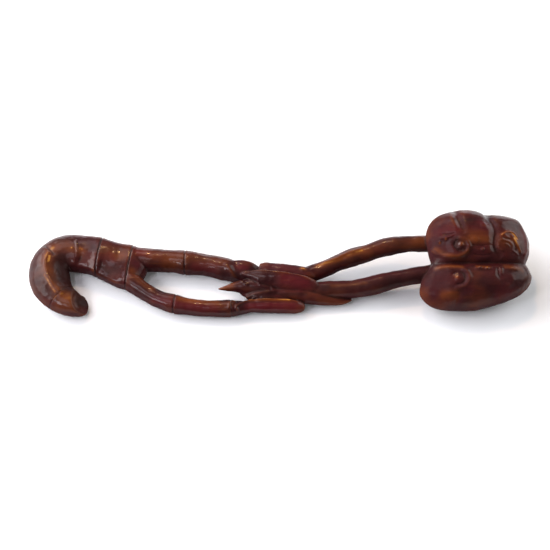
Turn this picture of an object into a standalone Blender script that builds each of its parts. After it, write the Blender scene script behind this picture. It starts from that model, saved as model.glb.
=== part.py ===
"""A carved hardwood ruyi scepter, lying on its back with its face up.

One piece of wood: a jointed root handle with a hooked end, which forks into two
branches, a cluster of leaves where they cross, two slim stems, and a head of two
lobed caps side by side. +X runs from the hook to the head, +Y away from the leaf
tips, +Z up, and Z = 0 is the table.
"""
import math

import bmesh
import bpy
from mathutils import Matrix, Vector

# Driving sizes, in metres
LENGTH = 0.360
HANDLE_WIDTH = 0.029
HANDLE_THICKNESS = 0.020
TIP_WIDTH = 0.0155
TIP_THICKNESS = 0.0140
FORK_WIDTH = 0.036
FORK_THICKNESS = 0.0175
UPPER_BRANCH_DIAMETER = 0.0165
LOWER_BRANCH_DIAMETER = 0.0125
UPPER_STEM_DIAMETER = 0.0122
LOWER_STEM_DIAMETER = 0.0128
LEAF_THICKNESS = 0.0075

# The scoop that hollows the end of the hook's tip
SCOOP_RADIUS = 0.0110
SCOOP_MIDDLE = (-133.8, -28.6, 15.3)

# The head: its caps, and the thick back that bulges out under them
CAP_FACE_HEIGHT = 0.0146
CAP_BACK_DEPTH = 0.0134
BACK_THICKNESS = 0.022
BACK_BULGE = 0.0055

# The carving: joint grooves with a lip beside them, and the relief on the caps
RING_DEPTH = 0.0011
RING_WIDTH = 0.0011
RING_LIP = 0.0004
VALLEY_DEPTH = 0.0020
VALLEY_WIDTH = 0.0028
CURL_HEIGHT = 0.0010
CURL_WIDTH = 0.0017
BOSS_RADIUS = 0.0026
BOSS_HEIGHT = 0.0013
ROSETTE_RADIUS = 0.0092
ROSETTE_HEIGHT = 0.0011
ROSETTE_RAYS = 9

# How deep the table plane cuts into whatever rests on it
TABLE_CUT = 0.0005

# The pose and the routes are laid out on a grid of 360 steps along the length
STEP = LENGTH / 360.0
HEAD_TILT = math.radians(20.0)
HEAD_CENTRE = (141.0, -5.8, 20.0)
CAP_SQUARENESS = 0.90

# How a limb's section departs from an ellipse: above 1 its two edges are sharper, below 1 its
# shoulders are squarer. The handle's section also rolls a little towards -Y.
TIP_PINCH = 0.90
HOOK_PINCH = 1.22
HANDLE_PINCH = 0.56
HANDLE_ROLL = math.radians(7.0)

# How finely the limbs are melted into one skin, and how far that skin is thinned
SKIN_VOXEL = 0.0010
SKIN_SMOOTHING = 2
SKIN_TRIANGLES = 9400
SECTION_SIDES = 20
CAP_RINGS = 36
POINTS_PER_SPAN = 5

WOOD_COLOUR = (0.155, 0.032, 0.014, 1.0)
WOOD_ROUGHNESS = 0.28


def grid(x, y, z):
    """A point of the layout grid, in metres."""
    return Vector((x, y, z)) * STEP


def spline_span(before, start, end, after):
    """The points of a Catmull-Rom curve from start up to, not including, end."""
    span = []
    for step in range(POINTS_PER_SPAN):
        t = step / POINTS_PER_SPAN
        span.append([
            b + 0.5 * ((c - a) * t + (2 * a - 5 * b + 4 * c - d) * t ** 2
                       + (3 * b - a - 3 * c + d) * t ** 3)
            for a, b, c, d in zip(before, start, end, after)])
    return span


def smooth_route(stations):
    """A smooth route through stations of (point, width, thickness, roll, pinch)."""
    rows = [[*point, *section] for point, *section in stations]
    rows = [rows[0]] + rows + [rows[-1]]
    fine = []
    for index in range(1, len(rows) - 2):
        fine += spline_span(*rows[index - 1:index + 3])
    fine.append(rows[-1])
    return [(Vector(row[:3]), *row[3:]) for row in fine]


def directions(points):
    """The direction of travel at each point of a route."""
    last = len(points) - 1
    return [(points[min(i + 1, last)] - points[max(i - 1, 0)]).normalized()
            for i in range(last + 1)]


def add_object(name, mesh, collection):
    """Put a mesh in the scene under a name."""
    result = bpy.data.objects.new(name, mesh)
    collection.objects.link(result)
    return result


def bridge(builder, rings):
    """Close a skin over a row of rings, with a flat cap at each end."""
    for ring, following in zip(rings, rings[1:]):
        for number in range(len(ring)):
            after = (number + 1) % len(ring)
            builder.faces.new((ring[number], ring[after], following[after], following[number]))
    builder.faces.new(rings[0])
    builder.faces.new(rings[-1])


def closed_mesh(name, builder):
    """The finished mesh of a closed skin, its faces turned outward."""
    bmesh.ops.recalc_face_normals(builder, faces=builder.faces)
    mesh = bpy.data.meshes.new(name)
    builder.to_mesh(mesh)
    builder.free()
    return mesh


def loft(stations):
    """A closed limb whose section changes along a route."""
    route = smooth_route(stations)
    travel = directions([row[0] for row in route])
    builder = bmesh.new()
    rings = []
    for (point, width, thickness, roll, pinch), forward in zip(route, travel):
        turn = Matrix.Rotation(roll, 3, forward)
        side = turn @ Vector((0.0, 0.0, 1.0)).cross(forward).normalized()
        up = forward.cross(side)
        ring = []
        for number in range(SECTION_SIDES):
            angle = 2.0 * math.pi * number / SECTION_SIDES
            across = side * math.cos(angle) * width / 2.0
            high = math.copysign(abs(math.sin(angle)) ** pinch, math.sin(angle))
            ring.append(builder.verts.new(point + across + up * high * thickness / 2.0))
        rings.append(ring)
    bridge(builder, rings)
    return closed_mesh("limb", builder)


def tube(points, diameter, collection):
    """A round limb: a curve through points of (place, share of the diameter)."""
    curve = bpy.data.curves.new("tube", "CURVE")
    curve.dimensions = "3D"
    curve.bevel_depth = diameter / 2.0
    curve.bevel_resolution = 4
    curve.use_fill_caps = True
    curve.resolution_u = 6
    spline = curve.splines.new("BEZIER")
    spline.bezier_points.add(len(points) - 1)
    for knot, (place, share) in zip(spline.bezier_points, points):
        knot.co = place
        knot.radius = share
        knot.handle_left_type = "AUTO"
        knot.handle_right_type = "AUTO"
    holder = add_object("tube", curve, collection)
    bpy.context.view_layer.update()
    evaluated = holder.evaluated_get(bpy.context.evaluated_depsgraph_get())
    mesh = bpy.data.meshes.new_from_object(evaluated)
    bpy.data.objects.remove(holder)
    builder = bmesh.new()
    builder.from_mesh(mesh)
    bmesh.ops.remove_doubles(builder, verts=builder.verts, dist=0.00001)
    return closed_mesh("tube", builder)


def ellipsoid(centre, radii, frame=Matrix.Identity(4)):
    """A squashed ball, in a frame of its own."""
    ball = bmesh.new()
    bmesh.ops.create_uvsphere(ball, u_segments=32, v_segments=16, radius=1.0)
    stretch = Matrix.Diagonal((radii[0], radii[1], radii[2], 1.0))
    bmesh.ops.transform(ball, matrix=frame @ Matrix.Translation(centre) @ stretch, verts=ball.verts)
    mesh = bpy.data.meshes.new("ball")
    ball.to_mesh(mesh)
    ball.free()
    return mesh


def settle(meshes):
    """Lower or raise meshes together until the table plane just cuts into the lowest."""
    lowest = min(vertex.co.z for mesh in meshes for vertex in mesh.vertices)
    for mesh in meshes:
        mesh.transform(Matrix.Translation((0.0, 0.0, -TABLE_CUT - lowest)))
    return meshes


# Each limb's layout is a list of (x, y, z, ...) on the grid. The hook's fourth value runs from
# the tip's section at 0 to the handle's at 1; elsewhere it is a share of the limb's own size.
# The hook's very end has a share of the tip's width and one of its thickness.
HOOK = [
    (-143.0, -30.2, 8.3, 0.06), (-152.0, -26.8, 9.0, 0.42), (-159.5, -19.6, 9.7, 0.82),
    (-163.7, -11.2, 10.0, 1.00), (-165.3, -1.6, 10.0, 1.00), (-162.4, 8.0, 10.0, 1.04),
    (-155.8, 13.0, 10.0, 1.02), (-146.5, 13.2, 10.0, 0.94), (-134.1, 10.9, 10.0, 0.90),
    (-126.0, 8.0, 10.0, 0.95)]
HOOK_END = [(-135.0, -28.6, 8.0, 0.35, 0.50), (-137.0, -29.0, 8.0, 0.90, 0.80)]
# Where the hook's sharp section starts to turn into the handle's square one, and over how long
SQUARE_START = -158.0
SQUARE_RUN = 14.0
FORK = [
    (-117.5, 4.2, 9.8, 0.90), (-109.0, 0.4, 9.5, 1.00), (-102.0, -2.2, 9.2, 0.90),
    (-97.5, -3.6, 8.6, 0.62), (-95.0, -4.0, 8.0, 0.20)]
UPPER_BRANCH = [
    (-112.0, 6.0, 9.6, 0.95), (-104.0, 8.0, 9.5, 1.00), (-93.6, 7.4, 9.5, 1.02), (-78.4, 6.6, 9.3, 0.97),
    (-66.7, 5.4, 9.2, 1.02), (-52.1, 3.2, 9.2, 0.94), (-39.0, 0.0, 9.0, 0.98), (-29.0, -2.8, 8.4, 0.90),
    (-17.0, -6.5, 7.8, 0.76), (0.0, -10.0, 7.4, 0.66)]
LOWER_BRANCH = [
    (-112.0, -7.0, 9.0, 0.95), (-104.9, -11.4, 8.8, 1.05), (-97.4, -17.6, 8.2, 1.00),
    (-87.1, -24.0, 7.4, 0.98), (-74.8, -28.5, 6.8, 1.02), (-63.4, -30.6, 6.3, 0.92),
    (-51.3, -31.9, 6.1, 0.92), (-36.9, -32.2, 6.1, 0.96), (-28.0, -31.6, 6.0, 0.80),
    (-18.0, -30.2, 6.0, 0.62), (-8.0, -28.0, 6.2, 0.50)]
UPPER_STEM = [
    (-4.0, -9.5, 7.6, 0.90), (10.0, -7.6, 7.8, 0.95), (24.5, -3.8, 8.8, 1.02), (34.7, -0.4, 10.6, 0.96),
    (44.1, 3.7, 12.2, 0.94), (54.0, 7.2, 13.5, 1.08), (63.7, 9.5, 15.0, 1.02), (72.0, 12.3, 16.3, 1.04),
    (81.0, 14.2, 17.6, 1.08), (90.0, 14.8, 18.8, 0.96), (101.0, 14.8, 19.6, 0.94), (126.0, 14.0, 19.6, 1.00)]
LOWER_STEM = [
    (4.0, -15.0, 6.8, 0.80), (18.0, -16.6, 6.9, 0.86), (31.0, -17.3, 7.2, 0.98), (43.0, -17.5, 7.9, 1.02),
    (54.0, -17.2, 8.9, 1.00), (65.0, -15.8, 10.2, 1.06), (74.0, -13.8, 11.4, 1.04), (84.0, -11.5, 12.6, 0.96),
    (94.0, -9.9, 13.5, 0.95), (103.0, -8.4, 14.1, 0.97), (126.0, -5.5, 14.4, 1.00)]

# The bamboo's joints: (x, y, z, turn in degrees from +X, how far the joint reaches, its share
# of the full depth)
RINGS = [
    (-155.4, -27.0, 9.5, -44.0, 19.0, 0.6), (-147.5, 13.0, 10.0, 11.0, 22.0, 0.7),
    (-129.5, 9.5, 10.0, -8.0, 24.0, 1.1), (-109.5, 0.4, 9.5, -7.0, 26.0, 1.15),
    (-67.5, 6.3, 9.3, 0.0, 12.0, 0.9), (-73.8, -28.8, 6.8, -10.0, 10.0, 0.9),
    (-33.5, -32.2, 6.1, 5.0, 10.0, 0.6)]


def handle(collection):
    """The hook and the handle, from the hook's hollowed tip to the fork."""
    stations = [(grid(x, y, z), TIP_WIDTH * wide, TIP_THICKNESS * thick, 0.0, TIP_PINCH)
                for x, y, z, wide, thick in HOOK_END]
    for x, y, z, fullness in HOOK:
        width = TIP_WIDTH + (HANDLE_WIDTH - TIP_WIDTH) * fullness
        thickness = TIP_THICKNESS + (HANDLE_THICKNESS - TIP_THICKNESS) * math.sqrt(fullness)
        square = min(max((x - SQUARE_START) / SQUARE_RUN, 0.0), 1.0)
        pinch = HOOK_PINCH + (HANDLE_PINCH - HOOK_PINCH) * square
        roll = HANDLE_ROLL * square if y > 0.0 else 0.0
        stations.append((grid(x, y, z), width, thickness, roll, pinch))
    for x, y, z, share in FORK:
        stations.append((grid(x, y, z), FORK_WIDTH * share, FORK_THICKNESS, HANDLE_ROLL, HANDLE_PINCH))
    scoop = ellipsoid(grid(*SCOOP_MIDDLE), (SCOOP_RADIUS, SCOOP_RADIUS, SCOOP_RADIUS))
    return cut_away(loft(stations), scoop, collection)


def cut_away(mesh, tool, collection):
    """A mesh with the space of another taken out of it."""
    body = add_object("body", mesh, collection)
    cutter = add_object("tool", tool, collection)
    cut = body.modifiers.new("cut", "BOOLEAN")
    cut.operation = "DIFFERENCE"
    cut.solver = "EXACT"
    cut.object = cutter
    bpy.context.view_layer.update()
    evaluated = body.evaluated_get(bpy.context.evaluated_depsgraph_get())
    result = bpy.data.meshes.new_from_object(evaluated)
    bpy.data.objects.remove(body)
    bpy.data.objects.remove(cutter)
    return result


def branch(layout, diameter, collection):
    """A round branch or stem from its layout of (x, y, z, share of the diameter)."""
    return tube([(grid(x, y, z), share) for x, y, z, share in layout], diameter, collection)


def leaf(thickness_share, pinch, layout):
    """A leaf from its layout of (x, y, z, width, roll), thinnest at its two ends."""
    widest = max(row[3] for row in layout)
    thickness = LEAF_THICKNESS * thickness_share
    return loft([
        (grid(x, y, z), width * STEP, thickness * math.sqrt(width / widest), math.radians(roll), pinch)
        for x, y, z, width, roll in layout])


# The leaves: each one's share of the leaf thickness, its pinch, and its layout of
# (x, y, z, width, roll towards -Y in degrees)
LEAVES = [
    (0.87, 1.40, [(-43.0, -16.9, 9.0, 0.6, 24.0), (-38.0, -16.5, 9.4, 3.8, 26.0),
                  (-31.0, -15.9, 10.0, 7.5, 28.0), (-20.0, -16.0, 10.6, 11.0, 30.0),
                  (-8.0, -17.0, 10.4, 11.0, 32.0), (2.0, -19.0, 9.0, 7.0, 34.0)]),
    (0.80, 1.25, [(-28.5, -6.8, 14.2, 0.8, 22.0), (-20.0, -8.8, 15.4, 6.0, 26.0),
                  (-11.0, -11.4, 15.7, 11.0, 30.0), (2.0, -13.9, 15.2, 12.6, 36.0),
                  (14.0, -15.6, 14.2, 13.0, 34.0), (22.5, -17.0, 12.9, 11.5, 30.0),
                  (27.5, -18.2, 11.8, 8.0, 28.0), (29.8, -18.8, 11.2, 3.5, 28.0)]),
    (1.01, 1.50, [(-33.0, -32.4, 6.6, 1.0, 40.0), (-25.0, -31.6, 7.2, 6.5, 46.0),
                  (-13.0, -30.9, 7.8, 10.5, 50.0), (2.0, -30.8, 7.8, 11.0, 50.0),
                  (11.5, -30.8, 7.2, 10.0, 48.0), (17.5, -30.8, 6.6, 6.5, 46.0),
                  (19.0, -30.8, 6.4, 3.0, 46.0)]),
    (0.88, 1.30, [(0.0, -20.4, 9.0, 9.0, 40.0), (14.0, -22.6, 8.8, 11.0, 44.0),
                  (28.0, -24.4, 7.8, 9.6, 46.0), (39.0, -25.6, 6.6, 6.6, 44.0),
                  (47.0, -25.6, 6.1, 3.8, 40.0), (52.5, -24.4, 6.1, 0.8, 36.0)]),
    (0.96, 0.90, [(-13.6, -1.0, 12.2, 6.5, 12.0), (-9.0, -2.0, 12.6, 10.0, 10.0),
                  (3.0, -4.0, 12.9, 11.5, 8.0), (14.0, -5.4, 12.9, 11.0, 8.0),
                  (22.0, -6.4, 12.3, 10.0, 8.0), (26.0, -7.2, 11.6, 6.0, 8.0)]),
    (0.80, 1.10, [(-46.0, 1.8, 12.6, 1.0, 14.0), (-39.0, 0.2, 13.2, 7.0, 14.0),
                  (-30.0, -1.4, 13.4, 12.0, 14.0), (-21.0, -2.2, 13.0, 11.5, 14.0),
                  (-15.0, -2.2, 12.0, 6.0, 12.0), (-11.5, -1.6, 11.4, 1.0, 10.0)])]
# The swellings under the leaves: the middle and the three radii of each
SWELLINGS = [((4.0, -17.6, 6.6), (32.0, 8.6, 6.2)), ((-6.0, -21.0, 6.2), (17.0, 9.0, 5.8)),
             ((-4.0, -28.6, 5.8), (17.0, 6.0, 5.6))]


def leaf_cluster():
    """The leaves and the swellings where branches and stems cross."""
    meshes = [leaf(*shape) for shape in LEAVES]
    meshes += [ellipsoid(grid(*middle), Vector(radii) * STEP) for middle, radii in SWELLINGS]
    return meshes


# A cap's outline on the face, as (u, v) in steps: u runs along the groove between the caps
# and v away from it.
UPPER_OUTLINE = [
    (-27.0, -3.0), (-32.6, 4.5), (-34.4, 14.0), (-35.2, 25.0), (-29.5, 35.2), (-18.0, 40.6), (-5.0, 42.2),
    (8.5, 38.8), (21.0, 37.6), (31.6, 33.4), (37.6, 22.5), (38.4, 12.0), (36.2, 3.5), (30.0, -3.0),
    (2.0, -3.6)]
LOWER_OUTLINE = [
    (-28.0, -3.0), (-35.4, 4.0), (-39.6, 12.0), (-40.2, 21.4), (-32.4, 29.2), (-18.0, 32.0), (-3.0, 31.8),
    (8.5, 29.2), (21.0, 25.4), (31.5, 19.8), (38.6, 11.5), (38.2, 4.5), (31.0, -3.0), (0.0, -3.6)]
# On each cap: its middle, the valleys between its lobes with each one's share of the full
# depth, the curl that winds round its boss, and the boss. The upper cap has a rosette too.
UPPER_CAP = {
    "facing": 1, "outline": UPPER_OUTLINE, "middle": (1.0, 19.0),
    "valleys": [
        (0.65, [(-15.5, 46.0), (-14.0, 37.0), (-12.0, 28.7), (-8.7, 21.0)]),
        (1.00, [(9.0, 46.0), (8.4, 36.2), (10.9, 28.7), (12.1, 22.5), (11.0, 14.4), (12.0, 9.6),
                (16.8, 4.0)])],
    "curl": [(-17.0, 17.6), (-11.0, 17.2), (-7.0, 14.6), (-6.6, 10.5), (-9.8, 6.4), (-16.5, 4.8),
             (-27.0, 6.8), (-33.0, 12.1)],
    "boss": (-12.0, 12.8), "rosette": (22.8, 15.0)}
LOWER_CAP = {
    "facing": -1, "outline": LOWER_OUTLINE, "middle": (0.0, 13.0),
    "valleys": [
        (0.50, [(-18.5, 34.5), (-16.2, 28.0), (-14.4, 22.9), (-11.6, 18.8)]),
        (0.50, [(12.6, 32.0), (11.1, 27.0), (9.4, 21.5), (9.8, 16.8)]),
        (0.50, [(13.6, 2.6), (13.4, 8.0), (15.6, 12.6)])],
    "curl": [(-30.0, 3.4), (-21.6, 2.8), (-11.9, 3.9), (-7.6, 7.6), (-7.4, 13.3), (-11.0, 17.4),
             (-17.6, 18.4)],
    "boss": (-14.6, 11.4), "rosette": None}


def closed_curve(corners):
    """A smooth closed curve through a cap's corner points."""
    count = len(corners)
    fine = []
    for index in range(count):
        fine += spline_span(*[corners[(index + shift) % count] for shift in (-1, 0, 1, 2)])
    return fine


def distance_to_line(u, v, line):
    """How far (u, v) lies from a line of several stretches."""
    nearest = math.inf
    for (start_u, start_v), (end_u, end_v) in zip(line, line[1:]):
        run_u, run_v = end_u - start_u, end_v - start_v
        share = ((u - start_u) * run_u + (v - start_v) * run_v) / (run_u ** 2 + run_v ** 2)
        share = min(max(share, 0.0), 1.0)
        nearest = min(nearest, math.hypot(u - start_u - run_u * share, v - start_v - run_v * share))
    return nearest


def bump(distance, width, power=2):
    """A smooth hump, 1 at the middle and fading over a width."""
    return math.exp(-(abs(distance) / width) ** power)


def cap_relief(shape, u, v):
    """The carving on a cap's face: valleys, a boss with a curl round it, and a rayed rosette."""
    height = 0.0
    for share, line in shape["valleys"]:
        height -= VALLEY_DEPTH * share * bump(distance_to_line(u, v, line) * STEP, VALLEY_WIDTH)
    height += CURL_HEIGHT * bump(distance_to_line(u, v, shape["curl"]) * STEP, CURL_WIDTH)
    boss = math.hypot(u - shape["boss"][0], v - shape["boss"][1]) * STEP
    height += BOSS_HEIGHT * bump(boss, BOSS_RADIUS, 4)
    if shape["rosette"]:
        across, along = u - shape["rosette"][0], v - shape["rosette"][1]
        rays = 1.0 + 0.4 * math.cos(ROSETTE_RAYS * math.atan2(along, across))
        height += ROSETTE_HEIGHT * rays * bump(math.hypot(across, along) * STEP, ROSETTE_RADIUS, 4)
    return height


def cap(shape):
    """One lobed cap: rings drawn in from its outline, domed, with the relief on its face."""
    outline = closed_curve(shape["outline"])
    middle_u, middle_v = shape["middle"]
    levels = [math.cos(math.pi * number / CAP_RINGS) for number in range(1, CAP_RINGS)]
    builder = bmesh.new()
    rings = []
    for level in levels:
        fullness = math.sqrt(1.0 - level ** 2) ** CAP_SQUARENESS
        relief_share = min(max(level * 2.5, 0.0), 1.0)
        half_thickness = CAP_FACE_HEIGHT if level > 0.0 else CAP_BACK_DEPTH
        ring = []
        for edge_u, edge_v in outline:
            u = middle_u + (edge_u - middle_u) * fullness
            v = middle_v + (edge_v - middle_v) * fullness
            height = half_thickness * level + cap_relief(shape, u, v) * relief_share
            ring.append(builder.verts.new((u * STEP, shape["facing"] * v * STEP, height)))
        rings.append(ring)
    bridge(builder, rings)
    bmesh.ops.transform(builder, matrix=head_frame(), verts=builder.verts)
    return closed_mesh("cap", builder)


def head_frame():
    """The head's own frame: u along the groove, v across it, w out of its face."""
    return Matrix.Translation(grid(*HEAD_CENTRE)) @ Matrix.Rotation(HEAD_TILT, 4, "X")


def head():
    """The two caps and the thick back that the stems run into."""
    half_back = BACK_THICKNESS / 2.0
    back_middle = Vector((-3.0 * STEP, -3.0 * STEP, half_back - CAP_BACK_DEPTH - BACK_BULGE))
    back_radii = (26.0 * STEP, 18.0 * STEP, half_back)
    return [cap(UPPER_CAP), cap(LOWER_CAP), ellipsoid(back_middle, back_radii, head_frame())]


def join_meshes(name, meshes, collection):
    """One object from several closed meshes that run into each other."""
    whole = bmesh.new()
    for mesh in meshes:
        whole.from_mesh(mesh)
    joined = bpy.data.meshes.new(name)
    whole.to_mesh(joined)
    whole.free()
    return add_object(name, joined, collection)


def melt(source, collection):
    """Turn the joined limbs into one smooth closed skin."""
    remesh = source.modifiers.new("skin", "REMESH")
    remesh.mode = "VOXEL"
    remesh.voxel_size = SKIN_VOXEL
    soften = source.modifiers.new("soften", "SMOOTH")
    soften.factor = 0.5
    soften.iterations = SKIN_SMOOTHING
    bpy.context.view_layer.update()
    evaluated = source.evaluated_get(bpy.context.evaluated_depsgraph_get())
    mesh = bpy.data.meshes.new_from_object(evaluated)
    bpy.data.objects.remove(source)
    return add_object("scepter", mesh, collection)


def carve_rings(body):
    """Press each joint's groove into the skin and raise a lip on its far side."""
    normals = [vertex.normal.copy() for vertex in body.data.vertices]
    for x, y, z, turn, reach, share in RINGS:
        centre = grid(x, y, z)
        travel = Vector((math.cos(math.radians(turn)), math.sin(math.radians(turn)), 0.0))
        for vertex, normal in zip(body.data.vertices, normals):
            offset = vertex.co - centre
            along = offset.dot(travel)
            if abs(along) > 4.0 * RING_WIDTH or (offset - travel * along).length > reach * STEP:
                continue
            groove = math.exp(-(along / RING_WIDTH) ** 2)
            lip = math.exp(-((along - 1.9 * RING_WIDTH) / RING_WIDTH) ** 2)
            vertex.co += normal * (RING_LIP * lip - RING_DEPTH * groove) * share


def rest_on_table(body, cutters):
    """Centre the carving, and return the slab that planes a flat where it touches the table."""
    places = [vertex.co for vertex in body.data.vertices]
    for axis in (0, 1):
        spread = [place[axis] for place in places]
        body.location[axis] = -(min(spread) + max(spread)) / 2.0
    slab = bmesh.new()
    bmesh.ops.create_cube(slab, size=1.0)
    mesh = bpy.data.meshes.new("table_plane")
    slab.to_mesh(mesh)
    slab.free()
    cutter = add_object("table_plane", mesh, cutters)
    cutter.scale = (LENGTH * 1.5, LENGTH, 0.02)
    cutter.location = (0.0, 0.0, -0.01)
    cutter.hide_render = True
    cutter.display_type = "WIRE"
    return cutter


def wood():
    """Dark red-brown varnished hardwood."""
    material = bpy.data.materials.new("varnished_wood")
    material.use_nodes = True
    shader = material.node_tree.nodes["Principled BSDF"]
    shader.inputs["Base Color"].default_value = WOOD_COLOUR
    shader.inputs["Roughness"].default_value = WOOD_ROUGHNESS
    shader.inputs["Metallic"].default_value = 0.0
    return material


def build():
    for item in list(bpy.data.objects):
        bpy.data.objects.remove(item)
    collection = bpy.data.collections.new("ruyi_scepter")
    cutters = bpy.data.collections.new("cutters")
    for group in (collection, cutters):
        bpy.context.scene.collection.children.link(group)
    meshes = settle([handle(collection)])
    meshes.append(branch(UPPER_BRANCH, UPPER_BRANCH_DIAMETER, collection))
    meshes.append(branch(LOWER_BRANCH, LOWER_BRANCH_DIAMETER, collection))
    meshes.append(branch(UPPER_STEM, UPPER_STEM_DIAMETER, collection))
    meshes.append(branch(LOWER_STEM, LOWER_STEM_DIAMETER, collection))
    meshes += settle(leaf_cluster())
    meshes += settle(head())
    body = melt(join_meshes("limbs", meshes, collection), collection)
    carve_rings(body)
    cutter = rest_on_table(body, cutters)
    thin = body.modifiers.new("thin", "DECIMATE")
    thin.ratio = min(1.0, SKIN_TRIANGLES / (2.0 * len(body.data.polygons)))
    plane = body.modifiers.new("plane", "BOOLEAN")
    plane.operation = "DIFFERENCE"
    plane.solver = "EXACT"
    plane.object = cutter
    body.data.materials.clear()
    body.data.materials.append(wood())
    body.data.shade_smooth()


build()
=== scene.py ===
import math

import bmesh
import bpy
import numpy as np
from mathutils import Matrix, Vector


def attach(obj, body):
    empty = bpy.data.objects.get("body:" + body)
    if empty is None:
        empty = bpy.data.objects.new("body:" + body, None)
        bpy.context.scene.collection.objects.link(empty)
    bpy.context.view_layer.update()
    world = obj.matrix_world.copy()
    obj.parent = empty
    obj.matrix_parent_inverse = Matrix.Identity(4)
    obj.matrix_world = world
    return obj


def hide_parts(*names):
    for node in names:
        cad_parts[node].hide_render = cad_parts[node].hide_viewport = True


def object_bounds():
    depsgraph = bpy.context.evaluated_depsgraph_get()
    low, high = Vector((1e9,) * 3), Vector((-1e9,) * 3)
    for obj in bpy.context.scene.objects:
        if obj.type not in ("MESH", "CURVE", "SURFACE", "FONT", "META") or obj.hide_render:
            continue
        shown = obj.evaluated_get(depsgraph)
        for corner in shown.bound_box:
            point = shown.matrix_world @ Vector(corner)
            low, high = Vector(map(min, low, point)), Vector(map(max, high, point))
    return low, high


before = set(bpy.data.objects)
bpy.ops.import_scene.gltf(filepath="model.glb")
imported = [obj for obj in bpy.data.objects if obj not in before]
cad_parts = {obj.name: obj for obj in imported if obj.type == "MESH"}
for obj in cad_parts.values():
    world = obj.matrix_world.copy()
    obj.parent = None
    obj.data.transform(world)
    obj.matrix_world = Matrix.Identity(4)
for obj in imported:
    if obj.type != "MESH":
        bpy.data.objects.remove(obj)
cadBox = [list(corner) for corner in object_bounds()]

mm = 0.001
layoutShift = Vector((-0.286, 1.916, 0.0))  # the layout's origin, seen from the middle of the CAD box
tableCut = 0.5  # how deep the table plane cuts into what rests on it


class Link:
    # a socket that can stand in a sum; numbers may stand on either side of it
    def __init__(self, net, socket):
        self.net = net
        self.socket = socket

    def maths(self, operation, first, second):
        return self.net.add("ShaderNodeMath", {"operation": operation}, {0: first, 1: second})()

    def __add__(self, other):
        return self.maths("ADD", self, other)

    def __radd__(self, other):
        return self.maths("ADD", other, self)

    def __sub__(self, other):
        return self.maths("SUBTRACT", self, other)

    def __rsub__(self, other):
        return self.maths("SUBTRACT", other, self)

    def __mul__(self, other):
        return self.maths("MULTIPLY", self, other)

    def __rmul__(self, other):
        return self.maths("MULTIPLY", other, self)

    def __truediv__(self, other):
        return self.maths("DIVIDE", self, other)

    def __rtruediv__(self, other):
        return self.maths("DIVIDE", other, self)

    def __pow__(self, other):
        return self.maths("POWER", self, other)

    def __rpow__(self, other):
        return self.maths("POWER", other, self)

    def __neg__(self):
        return self.maths("MULTIPLY", self, -1.0)

    def __abs__(self):
        return self.maths("ABSOLUTE", self, 0.0)


class Net:
    # a node tree that is filled by adding nodes with their settings and values
    def __init__(self, tree):
        self.tree = tree

    def pick(self, sockets, name):
        if isinstance(name, int):
            return sockets[name]
        return next(socket for socket in sockets if socket.name == name and socket.enabled)

    def add(self, kind, settings=None, values=None):
        node = self.tree.nodes.new(kind)
        for name, setting in (settings or {}).items():
            setattr(node, name, setting)
        for name, value in (values or {}).items():
            socket = self.pick(node.inputs, name)
            if isinstance(value, Link):
                self.tree.links.new(value.socket, socket)
            else:
                socket.default_value = value
        return lambda name=0: Link(self, self.pick(node.outputs, name))

    def vector(self, operation, first, second=(0.0, 0.0, 0.0)):
        made = self.add("ShaderNodeVectorMath", {"operation": operation}, {0: first, 1: second})
        return made("Value" if operation == "DOT_PRODUCT" else "Vector")

    def stretch(self, vector, factor):
        return self.add("ShaderNodeVectorMath", {"operation": "SCALE"}, {0: vector, "Scale": factor})()

    def blend(self, share, first, second):
        # a mix of two colours
        return self.add("ShaderNodeMix", {"data_type": "RGBA"}, {
            "Factor": share, "A": first, "B": second})("Result")

    def named(self, name, kind="FLOAT"):
        return self.add("GeometryNodeInputNamedAttribute", {"data_type": kind}, {"Name": name})()

    def hump(self, offset, width):
        # one at the middle, fading over a width
        return math.e ** (-((offset / width) ** 2.0))


def freshNet(owner):
    # the emptied node tree of a material or a world
    owner.use_nodes = True
    owner.node_tree.nodes.clear()
    return Net(owner.node_tree)


def geometryTree(name, inlets):
    tree = bpy.data.node_groups.new(name, "GeometryNodeTree")
    tree.is_modifier = True
    tree.interface.new_socket("Geometry", in_out="INPUT", socket_type="NodeSocketGeometry")
    tree.interface.new_socket("Geometry", in_out="OUTPUT", socket_type="NodeSocketGeometry")
    for label, kind in inlets.items():
        tree.interface.new_socket(label, in_out="INPUT", socket_type="NodeSocket" + kind)
    net = Net(tree)
    given = net.add("NodeGroupInput")
    return net, given


def finishTree(net, geometry, wood):
    real = net.add("GeometryNodeRealizeInstances", values={"Geometry": geometry})()
    coated = net.add("GeometryNodeSetMaterial", values={"Geometry": real, "Material": wood})()
    net.add("NodeGroupOutput", values={"Geometry": coated})
    return net.tree


def frozen(thing):
    # an object's mesh after its modifiers
    bpy.context.view_layer.update()
    return bpy.data.meshes.new_from_object(thing.evaluated_get(bpy.context.evaluated_depsgraph_get()))


def grow(tree, source, inputs):
    # runs a geometry tree on an object, and gives the plain mesh
    modifier = source.modifiers.new("grower", "NODES")
    modifier.node_group = tree
    for item in tree.interface.items_tree:
        if item.in_out == "INPUT" and item.name in inputs:
            modifier[item.identifier] = inputs[item.name]
    mesh = frozen(source)
    source.modifiers.remove(modifier)
    return mesh


def addObject(name, mesh):
    thing = bpy.data.objects.new(name, mesh)
    bpy.context.scene.collection.objects.link(thing)
    return thing


def setAttribute(mesh, name, values, kind="FLOAT"):
    layer = mesh.attributes.new(name, kind, "POINT")
    field = "vector" if kind == "FLOAT_VECTOR" else "value"
    layer.data.foreach_set(field, np.ravel(values).astype(np.float32))


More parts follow.
